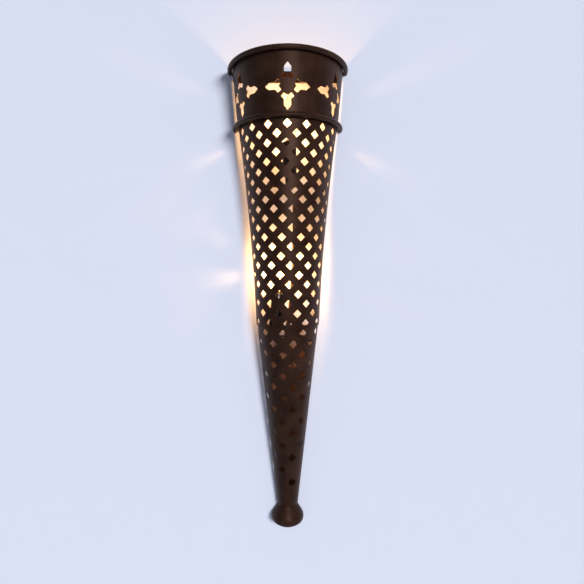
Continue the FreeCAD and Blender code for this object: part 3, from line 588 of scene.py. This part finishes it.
# ---- sockets ------------------------------------------------------------------------------------
# Two black phenolic candle sockets with brass screw shells, each on a plated nipple that is
# nutted to its shelf. The lower one leans a little to the right.
phenolic, shader = shader_material("black_phenolic", Specular_IOR_Level=0.5)
cloudy(phenolic, shader, 120.0, (0.010, 0.010, 0.011, 1), (0.020, 0.019, 0.018, 1), (0.22, 0.34), 0.04)
brass, shader = shader_material("plain_brass", Metallic=1.0)
cloudy(brass, shader, 140.0, (0.50, 0.33, 0.12, 1), (0.68, 0.49, 0.21, 1), (0.20, 0.36), 0.04)
LEAN = math.radians(5)
PLACES = {"upper": Matrix.Translation((3 * MM, -37 * MM, -118.5 * MM)),
          "lower": Matrix.Translation((-14.4 * MM, -29 * MM, -359 * MM)) @ Matrix.Rotation(LEAN, 4, "Y")}
for which in PLACES:
    softened(which + "_socket_body", phenolic, "socket", edge=0.5 * MM)
    softened(which + "_screw_shell", brass, "brass", edge=0.1 * MM)
    softened(which + "_centre_contact", brass, "brass", edge=0.1 * MM)
    softened(which + "_nipple", zinc, "steel", edge=0.15 * MM)
softened("ground_screw", brass, "brass", edge=0.3 * MM)


# ---- candle bulbs -------------------------------------------------------------------------------
# Clear candle bulbs: blown glass drawn to a tip, a glass stem with two support wires, a coiled
# tungsten filament between them, and a small threaded base with a black insulator.
clear_glass, shader = shader_material("clear_glass", Base_Color=(1, 1, 1, 1), Roughness=0.0, IOR=1.45,
                                      Transmission_Weight=1.0)
tree = clear_glass.node_tree
path = join_nodes(tree, "ShaderNodeLightPath")
open_way = join_nodes(tree, "ShaderNodeBsdfTransparent")
mix = join_nodes(tree, "ShaderNodeMixShader",
                 {0: path.outputs["Is Shadow Ray"], 1: shader.outputs[0], 2: open_way.outputs[0]})
tree.links.new(mix.outputs[0], tree.nodes["Material Output"].inputs["Surface"])

black_glass, shader = shader_material("black_glass", Base_Color=(0.006, 0.006, 0.008, 1), Roughness=0.12)
solder, shader = shader_material("solder", Metallic=1.0)
cloudy(solder, shader, 300.0, (0.40, 0.40, 0.40, 1), (0.62, 0.61, 0.60, 1), (0.30, 0.5), 0.1)
glowing, shader = shader_material("glowing_tungsten", Base_Color=(0.2, 0.15, 0.1, 1), Roughness=0.6,
                                  Emission_Color=(1.0, 0.72, 0.36, 1), Emission_Strength=60.0)

BASE_OUTER, NECK_STEP = 5.85 * MM, 0.9 * MM
GLASS_FOOT, GLASS_BELLY, GLASS_TOP, GLASS_RADIUS = 3.5 * MM, 26 * MM, 80.5 * MM, 16 * MM
GLASS_WALL = 0.8 * MM
STEM = [(-11, 2.5), (1, 2.4), (3.2, 3.6), (4.6, 5.2), (5.2, 5.0), (6, 3.2), (9, 2.0), (16, 1.6),
        (19.4, 2.4), (20, 1.8)]
BASE = [(3, 0.35), (3, 0), (2.2, 0.05), (-13.2, 0.4), (-14, 1.0)]
THREAD_SUNK, THREAD_PITCH, THREAD_WIDTH = 0.42 * MM, 2.54 * MM, 0.8 * MM
COIL_RADIUS, COIL_WIRE = 0.35 * MM, 0.18 * MM
FILAMENT_HEIGHT, FILAMENT_HALF, FILAMENT_RISE = 33.5 * MM, 5 * MM, 5 * MM
GLOW = (1.0, 0.52, 0.17)
GLOW_POWER, GLOW_SOFTNESS = 1.05, 11 * MM


def curve_piece(name, points, width):
    """A round wire along points, smoothed, as a mesh and the active object."""
    deselect()
    data = bpy.data.curves.new(name, "CURVE")
    data.dimensions = "3D"
    spline = data.splines.new("NURBS")
    spline.points.add(len(points) - 1)
    for slot_point, point in zip(spline.points, points):
        slot_point.co = (*point, 1)
    spline.order_u = 3
    spline.use_endpoint_u = True
    data.bevel_depth = width / 2
    data.bevel_resolution = 4
    data.resolution_u = 6
    data.use_fill_caps = True
    piece = bpy.data.objects.new(name, data)
    bpy.context.scene.collection.objects.link(piece)
    piece.select_set(True)
    bpy.context.view_layer.objects.active = piece
    bpy.ops.object.convert(target="MESH")
    return bpy.context.active_object


def glass_levels(above=24, below=12, tip=0.4 * MM):
    """The outer wall from the tip down to the neck, with steps above and below the belly."""
    neck = BASE_OUTER + NECK_STEP
    levels = []
    for step in range(1, above + 1):
        share = 1 - step / above
        levels.append((GLASS_BELLY + (GLASS_TOP - GLASS_BELLY) * share,
                       max(GLASS_RADIUS * math.cos(math.pi / 2 * share), tip)))
    for step in range(1, below + 1):
        share = 1 - step / below
        levels.append((GLASS_FOOT + (GLASS_BELLY - GLASS_FOOT) * share,
                       neck + (GLASS_RADIUS - neck) * math.sin(math.pi / 2 * share)))
    return [(GLASS_TOP, tip)] + levels


def helix(radius, pitch, turns, start, steps):
    """Points of a right-handed helix about the bulb's axis, upwards."""
    points = []
    for step in range(int(turns * steps) + 1):
        angle = 2 * math.pi * step / steps
        points.append((radius * math.cos(angle), radius * math.sin(angle), start + pitch * step / steps))
    return points


def coil_along(points, radius, turns, steps=10):
    """Points of a fine coil wound about a line of points."""
    wound = []
    total = turns * steps
    for step in range(total + 1):
        share = step / total * (len(points) - 1)
        here = min(int(share), len(points) - 2)
        start, end = Vector(points[here]), Vector(points[here + 1])
        run = (end - start).normalized()
        side = Vector((0, 1, 0))
        up = run.cross(side)
        angle = 2 * math.pi * step / steps
        centre = start.lerp(end, share - here)
        wound.append(centre + side * (radius * math.cos(angle)) + up * (radius * math.sin(angle)))
    return wound


for which, place in PLACES.items():
    body = which + "_bulb"
    ring_tube(glass_levels(), sides=64, ends="NGON")
    bpy.ops.object.mode_set(mode="EDIT")
    bpy.ops.mesh.select_all(action="DESELECT")
    bpy.ops.object.mode_set(mode="OBJECT")
    for face in bpy.context.active_object.data.polygons:
        face.select = len(face.vertices) > 4 and face.center.z < GLASS_BELLY
    bpy.ops.object.mode_set(mode="EDIT")
    bpy.ops.mesh.delete(type="FACE")
    bpy.ops.object.mode_set(mode="OBJECT")
    apply_modifier("SOLIDIFY", thickness=GLASS_WALL, offset=-1)
    settle(which + "_envelope", clear_glass, "glass", body, which + "_bulb_glass", place=place, smooth=60)

    ring_tube([(height * MM, radius * MM) for height, radius in STEM], sides=32, ends="NGON")
    settle(which + "_stem", clear_glass, "glass", body, which + "_bulb_stem", place=place, smooth=60)

    ring_tube([(height * MM, BASE_OUTER - inwards * MM) for height, inwards in BASE], sides=64, ends="NGON")
    settle(which + "_base_shell", brass, "brass", body, which + "_bulb_base", place=place)
    thread = helix(BASE_OUTER - THREAD_SUNK, THREAD_PITCH, turns=5, start=-12.4 * MM, steps=24)
    curve_piece("thread", thread, THREAD_WIDTH)
    settle(which + "_base_thread", brass, "brass", body, place=place, smooth=60)
    softened(which + "_bulb_insulator", black_glass, "insulator", body, edge=0.1 * MM)
    softened(which + "_bulb_tip", solder, "solder", which + "_tip", edge=0.15 * MM)
    softened(which + "_bulb_leads", solder, "solder", body, edge=0)

    arch = []
    for across, up in ((-1, 0), (-0.6, 0.65), (0, 1), (0.6, 0.65), (1, 0)):
        arch.append((FILAMENT_HALF * across, 0, FILAMENT_HEIGHT + FILAMENT_RISE * up))
    curve_piece("coil", coil_along(arch, COIL_RADIUS, turns=26), COIL_WIRE)
    settle(which + "_filament", glowing, "filament", body, which + "_bulb_filament", place=place, smooth=60)

    # the light itself, a soft point where the coil glows, rides with its bulb
    glow = bpy.data.objects.new(which + "_glow", bpy.data.lights.new(which + "_glow", "POINT"))
    glow.data.shadow_soft_size = GLOW_SOFTNESS
    glow.data.energy = GLOW_POWER
    glow.data.color = GLOW
    glow.location = place @ Vector((0, 0, FILAMENT_HEIGHT + FILAMENT_RISE / 2))
    bpy.context.scene.collection.objects.link(glow)
    glow.parent = frame["bodies"][body]


# ---- wiring -------------------------------------------------------------------------------------
# Stranded leads in brown braided sleeving run from the upper socket past the lower one, where
# twist-on connectors join them to its own leads and the bare ground wire goes to its screw.
black_wire, shader = shader_material("black_insulation", Base_Color=(0.012, 0.011, 0.010, 1), Roughness=0.35)
white_wire, shader = shader_material("white_insulation", Base_Color=(0.60, 0.57, 0.50, 1), Roughness=0.38)
copper, shader = shader_material("bare_copper", Metallic=1.0)
cloudy(copper, shader, 260.0, (0.36, 0.14, 0.06, 1), (0.62, 0.28, 0.14, 1), (0.28, 0.42), 0.05)
braid, shader = shader_material("brown_sleeving")
cloudy(braid, shader, 420.0, (0.075, 0.030, 0.014, 1), (0.20, 0.088, 0.042, 1), (0.6, 0.8), 0.5)
cap_plastic, shader = shader_material("connector_plastic", Base_Color=(0.50, 0.14, 0.02, 1), Roughness=0.4)
for node, finish, slot in (("upper_hot_wire", black_wire, "hot"),
                           ("lower_hot_wire", black_wire, "hot"),
                           ("upper_neutral_wire", white_wire, "neutral"),
                           ("lower_neutral_wire", white_wire, "neutral"),
                           ("ground_wire", copper, "copper"), ("wire_sleeve", braid, "sleeving"),
                           ("wire_connectors", cap_plastic, "connector")):
    softened(node, finish, slot, edge=0)


# ---- finish --------------------------------------------------------------------------------------
# The box of what is shown, with the backdrop left out, is measured.
low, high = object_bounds()
